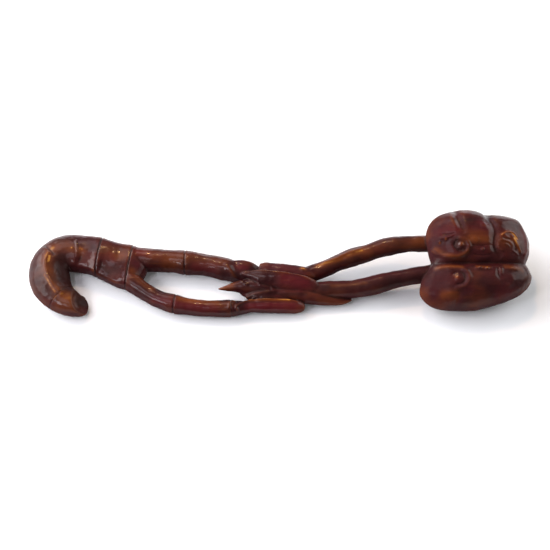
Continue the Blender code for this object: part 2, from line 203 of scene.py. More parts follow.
# The varnished wood: a dark red-brown hardwood, its grain along X, paler where handling has rubbed the
# edges and darker where the varnish has pooled in the carving. The hollows also take a painted shade, faces
# that turn from the top take a darker painted shade, and the strongest worn spots take painted gold glints.
# Shares say how strongly each colour shows, stretches how finely each pattern runs along and across, and
# fades between which of its values it comes in.
woodLook = {
    "heartwood": (0.02, 0.0028, 0.0042),
    "redwood": (0.05, 0.0056, 0.0062),
    "sideShade": (0.03, 0.0026, 0.0064),
    "ruddy": (0.098, 0.007, 0.0115),
    "amber": (0.19, 0.045, 0.0062),
    "glintGold": (0.52, 0.22, 0.04),
    "darkPoolAndShade": (0.008, 0.0018, 0.0018),
    "amberShare": 0.3, "ruddyShare": 0.8, "grainShare": 0.22, "poreShare": 0.3,
    "sideShadeShare": 0.75, "edgeShare": 0.28, "glintGoldShare": 0.85, "poolAndShadeShare": 0.66,
    "figureStretch": (26.0, 60.0, 60.0), "amberStretch": (34.0, 52.0, 52.0),
    "grainStretch": (9.0, 70.0, 70.0), "poreStretch": (60.0, 900.0, 900.0),
    "smoothStretch": (60.0, 60.0, 60.0),
    "rippleStretch": (150.0, 260.0, 260.0), "varnishStretch": (130.0, 210.0, 210.0),
    "figureFade": (0.34, 0.66), "amberFade": (0.52, 0.74), "grainFade": (0.55, 0.85),
    "poreFade": (0.6, 0.78), "glintGoldFade": (0.8, 1.05), "smoothFade": (0.3, 0.7),
    "varnishFade": (0.36, 0.62),
    "roughness": (0.3, 0.46), "unpolishedRoughness": 0.4,
    "leastShine": 0.62, "cavityDulls": 0.5, "edgeDulls": 0.3, "wearDulls": 0.3,
    "specularLevel": 0.2, "specularTint": (1.0, 0.64, 0.5),
    "coatRoughness": 0.13, "coatIndex": 1.27,
    "bumpStrength": 0.3, "bumpDepth": 0.0006,
}


def makeWood():
    look = woodLook
    material = bpy.data.materials.new("varnishedWood")
    net = freshNet(material)
    place = net.add("ShaderNodeTexCoord")("Object")

    def noise(stretch, detail=2.0, roughness=0.5, distortion=0.0, scale=1.0):
        spot = net.add("ShaderNodeMapping", values={"Vector": place, "Scale": stretch})()
        return net.add("ShaderNodeTexNoise", values={
            "Vector": spot, "Scale": scale, "Detail": detail, "Roughness": roughness,
            "Distortion": distortion})()

    figure = noise(look["figureStretch"], 3.0, 0.5, 0.8)
    grain = noise(look["grainStretch"], 3.0, 0.6, 0.2, 9.0)
    pores = noise(look["poreStretch"])
    hollowShadeAndPool, edge, wearAndGlint, polishAndTopLight, ruddy = (
        net.add("ShaderNodeAttribute", {"attribute_name": name})("Fac")
        for name in ("hollowShadeAndPool", "edge", "wearAndGlint", "polishAndTopLight", "ruddy"))

    def fade(value, name):
        low, high = look[name]
        return net.add("ShaderNodeMapRange", {"interpolation_type": "SMOOTHSTEP"}, {
            "Value": value, "From Min": low, "From Max": high, "To Min": 0.0, "To Max": 1.0})()

    def colour(name):
        return (*look[name], 1.0)

    tone = net.blend(fade(figure, "figureFade"), colour("heartwood"), colour("redwood"))
    clouds = fade(noise(look["amberStretch"]), "amberFade")
    tone = net.blend(clouds * look["amberShare"], tone, colour("amber"))
    tone = net.blend(ruddy * look["ruddyShare"], tone, colour("ruddy"))
    tone = net.blend(fade(grain, "grainFade") * look["grainShare"], tone, colour("amber"))
    tone = net.blend(fade(pores, "poreFade") * look["poreShare"], tone, colour("darkPoolAndShade"))
    # painted shade: faces that turn from the top, and dulled faces, go towards the darker side colour
    tone = net.blend((1.0 - polishAndTopLight) * look["sideShadeShare"], tone, colour("sideShade"))
    tone = net.blend(edge * look["edgeShare"], tone, colour("amber"))
    tone = net.blend(wearAndGlint * (0.45 + 0.9 * (figure - 0.2)), tone, colour("amber"))
    # painted glints: where the wear-and-glint mark is strongest, on thin painted spots, the wood turns a
    # bright gold
    glintMask = fade(wearAndGlint * (figure + 0.5), "glintGoldFade")
    tone = net.blend(glintMask * look["glintGoldShare"], tone, colour("glintGold"))
    # painted shade: the hollows, the listed shaded places and the joint lines go towards the darkest
    # colour, which also stands for varnish pooled there
    tone = net.blend(hollowShadeAndPool * look["poolAndShadeShare"], tone, colour("darkPoolAndShade"))
    smooth, rough = look["roughness"]
    roughness = smooth + (rough - smooth) * fade(noise(look["smoothStretch"], 3.0), "smoothFade")
    roughness = roughness + (1.0 - polishAndTopLight) * look["unpolishedRoughness"]
    ripple = noise(look["rippleStretch"]) * 0.6 + grain * 0.25 + pores * 0.15
    dulled = hollowShadeAndPool * look["cavityDulls"] + edge * look["edgeDulls"]
    patches = fade(noise(look["varnishStretch"]), "varnishFade")
    least = look["leastShine"]
    shine = polishAndTopLight * (1.0 - dulled) * (least + (1.0 - least) * patches) * (1.0 - wearAndGlint * look["wearDulls"])
    bump = net.add("ShaderNodeBump", values={
        "Strength": look["bumpStrength"], "Distance": look["bumpDepth"], "Height": ripple})()
    shader = net.add("ShaderNodeBsdfPrincipled", values={
        "Base Color": tone, "Roughness": roughness, "Normal": bump,
        "Specular IOR Level": look["specularLevel"], "Specular Tint": (*look["specularTint"], 1.0),
        "Coat Weight": shine, "Coat Roughness": look["coatRoughness"], "Coat IOR": look["coatIndex"],
        "Coat Normal": (0.0, 0.0, 0.0)})()
    net.add("ShaderNodeOutputMaterial", values={"Surface": shader})
    return material


wood = makeWood()
print("wood made")


# A limb grows along a skeleton: a run of points that carry the half width, the half thickness,
# the roll and the pinch of the section there. Pinch above 1 sharpens the section's two edges,
# and below 1 it squares its shoulders.
def makeLimbTree():
    net, given = geometryTree("limbGrower", {
        "Section Points": "Int", "Spacing": "Float", "Wood": "Material"})
    curve = net.add("GeometryNodeMeshToCurve", values={"Mesh": given("Geometry")})()
    curve = net.add("GeometryNodeCurveSplineType", {"spline_type": "CATMULL_ROM"}, {"Curve": curve})()
    curve = net.add("GeometryNodeResampleCurve", {"mode": "LENGTH"},
                    {"Curve": curve, "Length": given("Spacing")})()
    for name, source in (("spine", "GeometryNodeInputPosition"), ("travel", "GeometryNodeInputTangent")):
        curve = net.add("GeometryNodeStoreNamedAttribute", {"data_type": "FLOAT_VECTOR"}, {
            "Geometry": curve, "Name": name, "Value": net.add(source)()})()
    curve = net.add("GeometryNodeSetCurveNormal", {"mode": "Z_UP"}, {"Curve": curve})()
    circle = net.add("GeometryNodeCurvePrimitiveCircle", values={
        "Resolution": given("Section Points"), "Radius": mm})("Curve")
    skin = net.add("GeometryNodeCurveToMesh", values={
        "Curve": curve, "Profile Curve": circle, "Fill Caps": True})()
    spine = net.named("spine", "FLOAT_VECTOR")
    travel = net.named("travel", "FLOAT_VECTOR")
    position = net.add("GeometryNodeInputPosition")()
    spoke = net.vector("NORMALIZE", net.vector("SUBTRACT", position, spine))
    side = net.vector("NORMALIZE", net.vector("CROSS_PRODUCT", (0.0, 0.0, 1.0), travel))
    turned = net.add("ShaderNodeVectorRotate", {"rotation_type": "AXIS_ANGLE"}, {
        "Vector": side, "Axis": travel, "Angle": net.named("roll")})()
    across = net.vector("DOT_PRODUCT", spoke, turned)
    up = net.vector("CROSS_PRODUCT", travel, turned)
    high = net.vector("DOT_PRODUCT", spoke, up)
    sign = net.add("ShaderNodeMath", {"operation": "SIGN"}, {0: high})()
    high = sign * abs(high) ** net.named("pinch")
    moved = net.vector("ADD", net.stretch(turned, across * net.named("halfWidth")),
                       net.stretch(up, high * net.named("halfThickness")))
    skin = net.add("GeometryNodeSetPosition", values={
        "Geometry": skin, "Position": net.vector("ADD", spine, moved)})()
    return finishTree(net, skin, given("Wood"))


limbTree = makeLimbTree()


def growLimb(stations, sectionPoints=40):
    # stations are (x, y, z, width, thickness, roll in degrees, pinch), in mm
    mesh = bpy.data.meshes.new("skeleton")
    mesh.from_pydata([Vector(row[:3]) * mm for row in stations],
                     [(n, n + 1) for n in range(len(stations) - 1)], [])
    setAttribute(mesh, "halfWidth", [row[3] * mm / 2 for row in stations])
    setAttribute(mesh, "halfThickness", [row[4] * mm / 2 for row in stations])
    setAttribute(mesh, "roll", [math.radians(row[5]) for row in stations])
    setAttribute(mesh, "pinch", [row[6] for row in stations])
    skeleton = addObject("skeleton", mesh)
    grown = grow(limbTree, skeleton, {"Section Points": sectionPoints, "Spacing": mm, "Wood": wood})
    bpy.data.objects.remove(skeleton)
    return grown


def settle(meshes):
    # lowers or raises meshes together until the table plane just cuts into the lowest
    lowest = min(vertex.co.z for mesh in meshes for vertex in mesh.vertices)
    for mesh in meshes:
        mesh.transform(Matrix.Translation((0.0, 0.0, -tableCut * mm - lowest)))
    return meshes


# The hook and the handle: the width and thickness of the section at the tip, along the handle and
# at the fork, then routes of (x, y, z, ...). In the tip's and the fork's routes the last two
# numbers are shares of width and thickness. In the long one the last runs from the tip's section
# at 0 to the handle's at 1.
handleShape = {
    "tip": (15.5, 14.0), "handle": (29.0, 20.0), "fork": (36.0, 17.5), "sectionPoints": 56,
    "tipPinch": 0.9, "hookPinch": 1.22, "handlePinch": 0.56, "handleRoll": 7.0,
    "straightFrom": -158.0, "straightOver": 14.0,  # where the hook's section turns into the handle's
    "tipRoute": [(-135.0, -28.6, 8.0, 0.35, 0.5), (-137.0, -29.0, 8.0, 0.9, 0.8)],
    "route": [
        (-143.0, -30.2, 8.3, 0.06), (-152.0, -26.8, 9.0, 0.42), (-159.5, -19.6, 9.7, 0.82),
        (-163.7, -11.2, 10.0, 1.0), (-165.3, -1.6, 10.0, 1.0), (-162.4, 8.0, 10.0, 1.04),
        (-155.8, 13.0, 10.0, 1.02), (-146.5, 13.2, 10.0, 0.94), (-134.1, 10.9, 10.0, 0.9),
        (-126.0, 8.0, 10.0, 0.95)],
    "forkRoute": [
        (-117.5, 4.4, 9.8, 0.87, 1.0), (-108.5, 1.0, 9.5, 0.9, 1.0), (-102.0, -1.8, 8.7, 0.82, 0.82),
        (-98.6, -3.2, 7.2, 0.58, 0.54), (-96.6, -3.8, 6.0, 0.22, 0.32)],
}


def makeHandle():
    shape = handleShape
    tipWidth, tipThickness = shape["tip"]
    width, thickness = shape["handle"]
    forkWidth, forkThickness = shape["fork"]
    hookPinch, handlePinch = shape["hookPinch"], shape["handlePinch"]
    stations = [(x, y, z, tipWidth * wide, tipThickness * thick, 0.0, shape["tipPinch"])
                for x, y, z, wide, thick in shape["tipRoute"]]
    for x, y, z, full in shape["route"]:
        straight = min(max((x - shape["straightFrom"]) / shape["straightOver"], 0.0), 1.0)
        pinch = hookPinch + (handlePinch - hookPinch) * straight
        roll = shape["handleRoll"] * straight if y > 0.0 else 0.0
        stations.append((x, y, z, tipWidth + (width - tipWidth) * full,
                         tipThickness + (thickness - tipThickness) * math.sqrt(full), roll, pinch))
    stations += [(x, y, z, forkWidth * wide, forkThickness * thick, shape["handleRoll"], handlePinch)
                 for x, y, z, wide, thick in shape["forkRoute"]]
    return growLimb(stations, shape["sectionPoints"])


# The two branches round the first eye and the two stems round the second: each one's diameter,
# and its route of (x, y, z, share of the diameter)
stickPinch = 0.86  # their sections are round, with slightly square shoulders
stickShapes = {
    "upperBranch": (16.5, [
        (-112.0, 6.0, 9.6, 0.95), (-104.0, 8.0, 9.5, 1.0), (-93.6, 7.4, 9.5, 1.02),
        (-78.4, 6.6, 9.3, 0.97), (-66.7, 5.4, 9.2, 1.02), (-52.1, 3.2, 9.2, 0.94),
        (-39.0, 0.0, 9.0, 0.98), (-29.0, -2.8, 8.4, 0.9), (-17.0, -6.5, 7.8, 0.76),
        (0.0, -10.0, 7.4, 0.66)]),
    "lowerBranch": (12.5, [
        (-112.0, -7.0, 9.0, 0.95), (-104.9, -11.4, 8.8, 1.05), (-97.4, -17.6, 8.2, 1.0),
        (-87.1, -24.0, 7.4, 0.98), (-74.8, -28.5, 6.8, 1.02), (-63.4, -30.6, 6.3, 0.92),
        (-51.3, -31.9, 6.1, 0.92), (-36.9, -32.2, 6.1, 0.96), (-28.0, -31.6, 6.0, 0.8),
        (-18.0, -30.2, 6.0, 0.62), (-8.0, -28.0, 6.2, 0.5)]),
    "upperStem": (12.2, [
        (-4.0, -9.5, 7.6, 0.9), (10.0, -7.6, 7.8, 0.95), (24.5, -3.8, 8.8, 1.02), (34.7, -0.4, 10.6, 0.96),
        (44.1, 3.7, 12.2, 0.94), (54.0, 7.2, 13.5, 1.08), (63.7, 9.5, 15.0, 1.02), (72.0, 12.3, 16.3, 1.04),
        (81.0, 14.2, 17.6, 1.08), (90.0, 14.8, 18.8, 0.96), (101.0, 14.8, 19.6, 0.94),
        (126.0, 14.0, 19.6, 1.0)]),
    "lowerStem": (12.8, [
        (4.0, -15.0, 6.8, 0.8), (18.0, -16.6, 6.9, 0.86), (31.0, -17.3, 7.2, 0.98),
        (43.0, -17.5, 7.9, 1.02), (54.0, -17.2, 8.9, 1.0), (65.0, -15.8, 10.2, 1.06),
        (74.0, -13.8, 11.4, 1.04), (84.0, -11.5, 12.6, 0.96), (94.0, -9.9, 13.5, 0.95),
        (103.0, -8.4, 14.1, 0.97), (126.0, -5.5, 14.4, 1.0)]),
}


def makeSticks():
    return [growLimb([(x, y, z, diameter * share, diameter * share, 0.0, stickPinch)
                      for x, y, z, share in route])
            for diameter, route in stickShapes.values()]


# The leaves: each one's thickness and pinch, and its route of (x, y, z, width, roll towards the
# near side in degrees); then the swellings under them, each one's middle and radii
leafShapes = {
    "leaves": {
        "leftPoint": (6.5, 1.4, [
            (-43.0, -16.9, 9.0, 0.6, 24.0), (-38.0, -16.5, 9.4, 3.8, 26.0), (-31.0, -15.9, 10.0, 7.5, 28.0),
            (-20.0, -16.0, 10.6, 11.0, 30.0), (-8.0, -17.0, 10.4, 11.0, 32.0),
            (2.0, -19.0, 9.0, 7.0, 34.0)]),
        "middle": (5.4, 1.25, [
            (-28.5, -6.8, 14.2, 0.8, 22.0), (-20.0, -8.8, 15.4, 6.0, 26.0),
            (-11.0, -11.4, 15.7, 11.0, 30.0), (2.0, -13.9, 15.2, 12.6, 36.0),
            (14.0, -15.6, 14.2, 13.0, 34.0), (22.5, -17.0, 12.9, 11.5, 30.0),
            (27.5, -18.2, 11.8, 8.0, 28.0), (29.8, -18.8, 11.2, 3.5, 28.0)]),
        "bottom": (7.6, 1.5, [
            (-33.0, -32.4, 6.6, 1.0, 40.0), (-25.0, -31.6, 7.2, 6.5, 46.0), (-13.0, -30.9, 7.8, 10.5, 50.0),
            (2.0, -30.8, 7.8, 11.0, 50.0), (11.5, -30.8, 7.2, 10.0, 48.0), (17.5, -30.8, 6.6, 6.5, 46.0),
            (19.0, -30.8, 6.4, 3.0, 46.0)]),
        "rightPoint": (6.6, 1.3, [
            (0.0, -20.4, 9.0, 9.0, 40.0), (14.0, -22.6, 8.8, 11.0, 44.0), (28.0, -24.4, 7.8, 9.6, 46.0),
            (39.0, -25.6, 6.6, 6.6, 44.0), (47.0, -25.6, 6.1, 3.8, 40.0), (52.5, -24.4, 6.1, 0.8, 36.0)]),
        "back": (7.2, 0.9, [
            (-13.6, -1.0, 12.2, 6.5, 12.0), (-9.0, -2.0, 12.6, 10.0, 10.0), (3.0, -4.0, 12.9, 11.5, 8.0),
            (14.0, -5.4, 12.9, 11.0, 8.0), (22.0, -6.4, 12.3, 10.0, 8.0), (26.0, -7.2, 11.6, 6.0, 8.0)]),
        "sheath": (6.0, 1.1, [
            (-46.0, 1.8, 12.6, 1.0, 14.0), (-39.0, 0.2, 13.2, 7.0, 14.0), (-30.0, -1.4, 13.4, 12.0, 14.0),
            (-21.0, -2.2, 13.0, 11.5, 14.0), (-15.0, -2.2, 12.0, 6.0, 12.0),
            (-11.5, -1.6, 11.4, 1.0, 10.0)]),
    },
    "swellings": [
        ((4.0, -17.6, 6.6), (32.0, 8.6, 6.2)), ((-6.0, -21.0, 6.2), (17.0, 9.0, 5.8)),
        ((-4.0, -28.6, 5.8), (17.0, 6.0, 5.6))],
}


def makeBall(centre, radii, placement=Matrix.Identity(4)):
    ball = bmesh.new()
    bmesh.ops.create_uvsphere(ball, u_segments=64, v_segments=32, radius=mm)
    spot = Matrix.Translation(Vector(centre) * mm)
    stretch = Matrix.Diagonal((*radii, 1.0))
    bmesh.ops.transform(ball, verts=ball.verts, matrix=placement @ spot @ stretch)
    mesh = bpy.data.meshes.new("ball")
    ball.to_mesh(mesh)
    ball.free()
    return mesh


def makeLeaves():
    meshes = []
    for thickness, pinch, route in leafShapes["leaves"].values():
        widest = max(row[3] for row in route)
        stations = [(x, y, z, width, thickness * math.sqrt(width / widest), roll, pinch)
                    for x, y, z, width, roll in route]
        meshes.append(growLimb(stations))
    meshes += [makeBall(*swelling) for swelling in leafShapes["swellings"]]
    return meshes


# The head's own frame runs u along the groove between the two caps, v across it and w out of
# the face. Each cap is its side of the groove, its middle and its outline of (u, v), with v away
# from the groove. The back is one low ball behind both.
headShape = {
    "centre": (141.0, -5.8, 20.0), "tilt": 20.0, "squareness": 0.9, "rings": 96,
    "faceHeight": 14.6, "backDepth": 13.4, "backThickness": 22.0, "backBulge": 5.5,
    "backMiddle": (-3.0, -3.0), "backRadii": (26.0, 18.0),
    "upper": (1, (1.0, 19.0), [
        (-27.0, -3.0), (-32.6, 4.5), (-34.4, 14.0), (-35.2, 25.0), (-29.5, 35.2), (-18.0, 40.6),
        (-5.0, 42.2), (8.5, 38.8), (21.0, 37.6), (31.6, 33.4), (37.6, 22.5), (38.4, 12.0), (36.2, 3.5),
        (30.0, -3.0), (2.0, -3.6)]),
    "lower": (-1, (0.0, 13.0), [
        (-28.0, -3.0), (-35.4, 4.0), (-39.6, 12.0), (-40.2, 21.4), (-32.4, 29.2), (-18.0, 32.0),
        (-3.0, 31.8), (8.5, 29.2), (21.0, 25.4), (31.5, 19.8), (38.6, 11.5), (38.2, 4.5), (31.0, -3.0),
        (0.0, -3.6)]),
}


def smoothLine(points, closed=False, steps=8):
    # a smooth curve through points
    rows = np.array(points, float)
    count = len(rows)
    if closed:
        spans = [[(n + shift) % count for shift in (-1, 0, 1, 2)] for n in range(count)]
    else:
        spans = [[max(n - 1, 0), n, n + 1, min(n + 2, count - 1)] for n in range(count - 1)]
    fine = []
    for span in spans:
        a, b, c, d = rows[span]
        for t in np.arange(steps) / steps:
            fine.append(b + 0.5 * ((c - a) * t + (2 * a - 5 * b + 4 * c - d) * t ** 2
                                   + (3 * b - a - 3 * c + d) * t ** 3))
    if not closed:
        fine.append(rows[-1])
    return np.array(fine)


def headFrame():
    return (Matrix.Translation(Vector(headShape["centre"]) * mm)
            @ Matrix.Rotation(math.radians(headShape["tilt"]), 4, "X"))


def makeCap(name):
    facing, middle, corners = headShape[name]
    outline = smoothLine(corners, closed=True)
    levels = np.cos(np.pi * np.arange(1, headShape["rings"]) / headShape["rings"])
    builder = bmesh.new()
    rings = []
    for level in levels:
        full = math.sqrt(1.0 - level ** 2) ** headShape["squareness"]
        height = level * headShape["faceHeight" if level > 0.0 else "backDepth"]
        places = np.array(middle) + (outline - middle) * full
        rings.append([builder.verts.new((u * mm, facing * v * mm, height * mm)) for u, v in places])
    for ring, following in zip(rings, rings[1:]):
        for n in range(len(ring)):
            after = (n + 1) % len(ring)
            builder.faces.new((ring[n], ring[after], following[after], following[n]))
    builder.faces.new(rings[0])
    builder.faces.new(rings[-1])
    bmesh.ops.transform(builder, matrix=headFrame(), verts=builder.verts)
    bmesh.ops.recalc_face_normals(builder, faces=builder.faces)
    mesh = bpy.data.meshes.new(name)
    builder.to_mesh(mesh)
    builder.free()
    return mesh


def makeHead():
    half = headShape["backThickness"] / 2
    middle = (*headShape["backMiddle"], half - headShape["backDepth"] - headShape["backBulge"])
    back = makeBall(middle, (*headShape["backRadii"], half), headFrame())
    return [makeCap("upper"), makeCap("lower"), back]


# The skin: how finely everything is melted into one piece of wood
skinShape = {"voxel": 0.5, "softening": 2, "triangles": 190000}


def meltTogether(meshes):
    whole = bmesh.new()
    for mesh in meshes:
        whole.from_mesh(mesh)
    joined = bpy.data.meshes.new("limbs")
    whole.to_mesh(joined)
    whole.free()
    source = addObject("limbs", joined)
    remesh = source.modifiers.new("skin", "REMESH")
    remesh.mode = "VOXEL"
    remesh.voxel_size = skinShape["voxel"] * mm
    soften = source.modifiers.new("soften", "SMOOTH")
    soften.factor = 0.5
    soften.iterations = skinShape["softening"]
    mesh = frozen(source)
    bpy.data.objects.remove(source)
    return mesh


skin = meltTogether(settle([makeHandle()]) + makeSticks() + settle(makeLeaves()) + settle(makeHead()))
carving = addObject("scepterCarving", skin)
print("limbs melted into one skin:", len(skin.vertices), "vertices")


def readMesh(mesh):
    places = np.empty(len(mesh.vertices) * 3, np.float32)
    normals = np.empty(len(mesh.vertices) * 3, np.float32)
    mesh.vertices.foreach_get("co", places)
    mesh.vertices.foreach_get("normal", normals)
    return places.reshape(-1, 3).astype(float), normals.reshape(-1, 3).astype(float)


def writeMesh(mesh, places):
    mesh.vertices.foreach_set("co", np.ravel(places).astype(np.float32))
    mesh.update()


# The knife's strokes, each (kind, height, width, points) in mm. A ridge is a soft raised line, a
# valley a soft hollow one and a crease a sharp one. A saddle is a wide hollow that is deep at its
# first point and runs out at its last, and a dot is a round knob. The head's and the rosette's
# points are (u, v) in the head's frame, and the others' are (x, y) seen from above.
headStrokes = [
    ("valley", -1.2, 2.6, [(-15.5, 46), (-14, 37), (-12, 28.7), (-8.7, 21)]),
    ("ridge", 0.7, 2.2, [(-19, 38), (-17, 31), (-13.5, 24)]),
    ("valley", -1.7, 2.8, [(9, 46), (8.4, 36.2), (10.9, 28.7), (12.1, 22.5), (11, 14.4),
        (12, 9.6), (16.8, 4)]),
    ("dot", 1.1, 1.7, [(-12, 12.8)]),
    ("crease", -1.2, 1.3, [(-15.4, 16.6), (-16.6, 12.6), (-14.4, 9.4), (-10.6, 9)]),
    ("ridge", 0.8, 1.4, [(-17, 17.6), (-11, 17.2), (-7, 14.6), (-6.6, 10.5), (-9.8, 6.4),
        (-16.5, 4.8), (-27, 6.8), (-33, 12.1)]),
    ("ridge", 0.6, 0.8, [(-27, 18.6), (-22, 18.6), (-16.4, 20.4)]),
    ("dot", 0.8, 8.6, [(22.4, 14.6)]),
    ("ridge", 0.7, 1.1, [(31, 30.5), (34.4, 22), (35.4, 12), (33, 6)]),
    ("crease", -0.6, 1.0, [(-5, 12.6), (2, 12.2), (10, 12.8)]),
    ("dot", 0.7, 1.2, [(3.1, 9.6)]), ("dot", 0.7, 1.0, [(0.8, -3.6)]), ("dot", 0.7, 1.0, [(5.6, -4.4)]),
    ("dot", 0.6, 1.2, [(-22.5, 17.4)]), ("dot", 0.5, 1.0, [(-26.5, 15.8)]),
    ("crease", -0.6, 0.9, [(-26, 21.6), (-20, 20.8), (-15, 22)]),
    ("crease", -0.5, 1.0, [(-4, 6.2), (3, 5.4), (10, 6.2)]),
    ("dot", 0.6, 2.8, [(-2, 16)]), ("dot", 0.5, 2.4, [(4.6, 27)]),
    ("dot", 0.5, 1.9, [(-14.6, -11.4)]),
    ("crease", -0.9, 1.2, [(-19.5, -9), (-16, -6.6), (-11.4, -7.6), (-10.2, -12), (-12.6, -15.2),
        (-17.6, -15.8)]),
    ("ridge", 0.6, 1.4, [(-30, -3.4), (-21.6, -2.8), (-11.9, -3.9), (-7.6, -7.6), (-7.4, -13.3),
        (-11, -17.4), (-17.6, -18.4)]),
    ("ridge", 0.8, 1.6, [(-3.4, -3.6), (4.5, -3.8), (10, -3.8)]),
    ("valley", -0.6, 2.0, [(-5, -5), (-3.8, -9), (0, -12)]),
    ("valley", -0.8, 1.6, [(13.6, -2.6), (13.4, -8), (15.6, -12.6)]),
    ("ridge", 0.5, 1.0, [(15.8, -3.4), (15.4, -9.4)]),
    ("ridge", 0.8, 1.5, [(18.6, -4), (24, -3.8), (30, -4.6)]),
    ("ridge", 0.5, 1.6, [(19.5, -8), (23.4, -11), (21.7, -15.6), (16.6, -16.8)]),
    ("valley", -0.7, 3.0, [(-18.5, -34.5), (-16.2, -28), (-14.4, -22.9), (-11.6, -18.8)]),
    ("ridge", 0.5, 2.4, [(-28, -23.6), (-21.1, -21.6), (-15, -21)]),
    ("valley", -0.7, 3.0, [(12.6, -32), (11.1, -27), (9.4, -21.5), (9.8, -16.8)]),
]
rosette = [
    ("ridge", 0.6, 0.8, [(16.4, 19.4), (19.8, 21.8), (22.8, 22.7), (25.7, 21.8), (28.4, 17.8)]),
    ("ridge", 0.5, 0.8, [(26.1, 17.8), (28.3, 13.6), (30, 9.9), (30.3, 6.8)]),
    ("ridge", 0.55, 0.9, [(14.6, 15.6), (16.6, 16.5), (19.5, 15.9), (22.4, 14.8), (24.7, 12.4)]),
    ("ridge", 0.55, 0.9, [(14.2, 15.2), (14.2, 12.3), (15.1, 9.9), (18, 8.4)]),
    ("ridge", 0.45, 0.7, [(17.4, 13.4), (20.4, 13), (22.3, 11.2)]),
    ("ridge", 0.45, 0.8, [(23.4, 20.6), (26.2, 16), (28.2, 11.7)]),
    ("ridge", 0.45, 0.8, [(19, 21.2), (20, 18.8), (22.6, 18)]),
    ("ridge", 0.45, 0.8, [(22.8, 9.2), (26, 8.2), (28.6, 5.6)]),
    ("crease", -0.5, 0.9, [(16.8, 17.8), (20.4, 17.4), (23.8, 17)]),
    ("crease", -0.5, 1.0, [(25.2, 14.4), (26.4, 10.8), (25, 6.8)]),
]
clusterStrokes = [
    ("ridge", 1.4, 1.7, [(-26, -24.4), (-18.3, -22.6), (-10.4, -21.6), (-2, -21.2)]),
    ("ridge", 0.6, 0.7, [(-26.6, -12.4), (-24.6, -15), (-21, -16.6)]),
    ("ridge", 0.6, 0.7, [(-15.2, -13.2), (-12.8, -17), (-7.6, -18.4)]),
    ("ridge", 0.5, 0.7, [(-5.6, -18.2), (-1, -21.2)]), ("dot", 0.5, 1.9, [(17.4, -4.2)]),
    ("ridge", 1.2, 2.0, [(-39, -0.6), (-34, -6), (-28.7, -11)]),
    ("valley", -0.45, 2.4, [(-34, 1.5), (-28.5, -4), (-23.5, -7.6)]),
    ("ridge", 0.7, 0.9, [(-26, -29.4), (-20.6, -28.2), (-12.1, -27.6), (-0.8, -27.6), (7.8, -28.1),
        (14.9, -29.4)]),
    ("valley", -0.5, 1.8, [(-20, -31), (-10, -30.1), (4, -30.1), (10, -30.6)]),
    ("ridge", 0.9, 0.7, [(-17.5, -27.9), (-25.4, -30.3), (-30, -33.8), (-27.6, -36.3)]),
    ("ridge", 0.9, 0.7, [(-34.9, -35.6), (-34.6, -31.5), (-32.1, -29.4), (-29.6, -31)]),
    ("ridge", 0.5, 0.6, [(-19, -26.4), (-16.7, -24.5), (-13.8, -25.2)]),
    ("ridge", 0.5, 0.7, [(-25, -7.6), (-14, -7), (0, -9), (14, -11), (24, -14.4)]),
]
handleStrokes = [
    ("ridge", 1.2, 2.2, [(-165, 9), (-167, 2), (-166.4, -6), (-163, -15), (-157.5, -22),
        (-151.5, -27.5)]),
    ("valley", -1.6, 3.8, [(-157, 3), (-156, -5), (-154, -12), (-150.5, -19)]),
    ("crease", -1.3, 0.8, [(-172.5, 18.6), (-166.5, 12), (-160.5, 5)]),
    ("saddle", -1.8, 4.4, [(-145.7, 4), (-138, 1), (-131.8, -2.4)]),
    ("saddle", -2.3, 5.6, [(-131, -2.2), (-121, -6.6), (-109.2, -13.2)]),
    ("ridge", 0.7, 1.4, [(-142, -2), (-131, -5.4), (-122, -10.6), (-113.5, -15.4),
        (-108.7, -19.6)]),
    ("ridge", 0.6, 0.6, [(-146.4, 18.6), (-145.4, 12.4), (-144.6, 7)]),
]
stemStrokes = [
    ("ridge", 0.7, 1.3, [(30, 0), (40, 2.8), (50, 6.8), (60, 9.4)]),
]
strokeDepth = 40.0  # how far from its frame's plane a stroke still cuts
saddleStart = 3.0  # the run over which a saddle comes to its full depth


def lineDistance(spots, points):
    # each spot's distance to a line, its way along it, and the line's length
    line = smoothLine(points) if len(points) > 1 else np.array(points * 2, float)
    best = np.full(len(spots), 1e9)
    along = np.zeros(len(spots))
    travelled = 0.0
    for start, end in zip(line, line[1:]):
        run = end - start
        length = max(np.hypot(*run), 1e-6)
        share = np.clip(((spots - start) @ run) / length ** 2, 0.0, 1.0)
        gap = spots - start - share[:, None] * run
        distance = np.hypot(gap[:, 0], gap[:, 1])
        closer = distance < best
        best[closer] = distance[closer]
        along[closer] = travelled + share[closer] * length
        travelled += length
    return best, along, travelled


def seenFrom(placement, places):
    # a frame's axes, and places as it sees them, in mm
    turn = np.array(placement.to_3x3())
    return turn, (places - np.array(placement.translation)) @ turn / mm


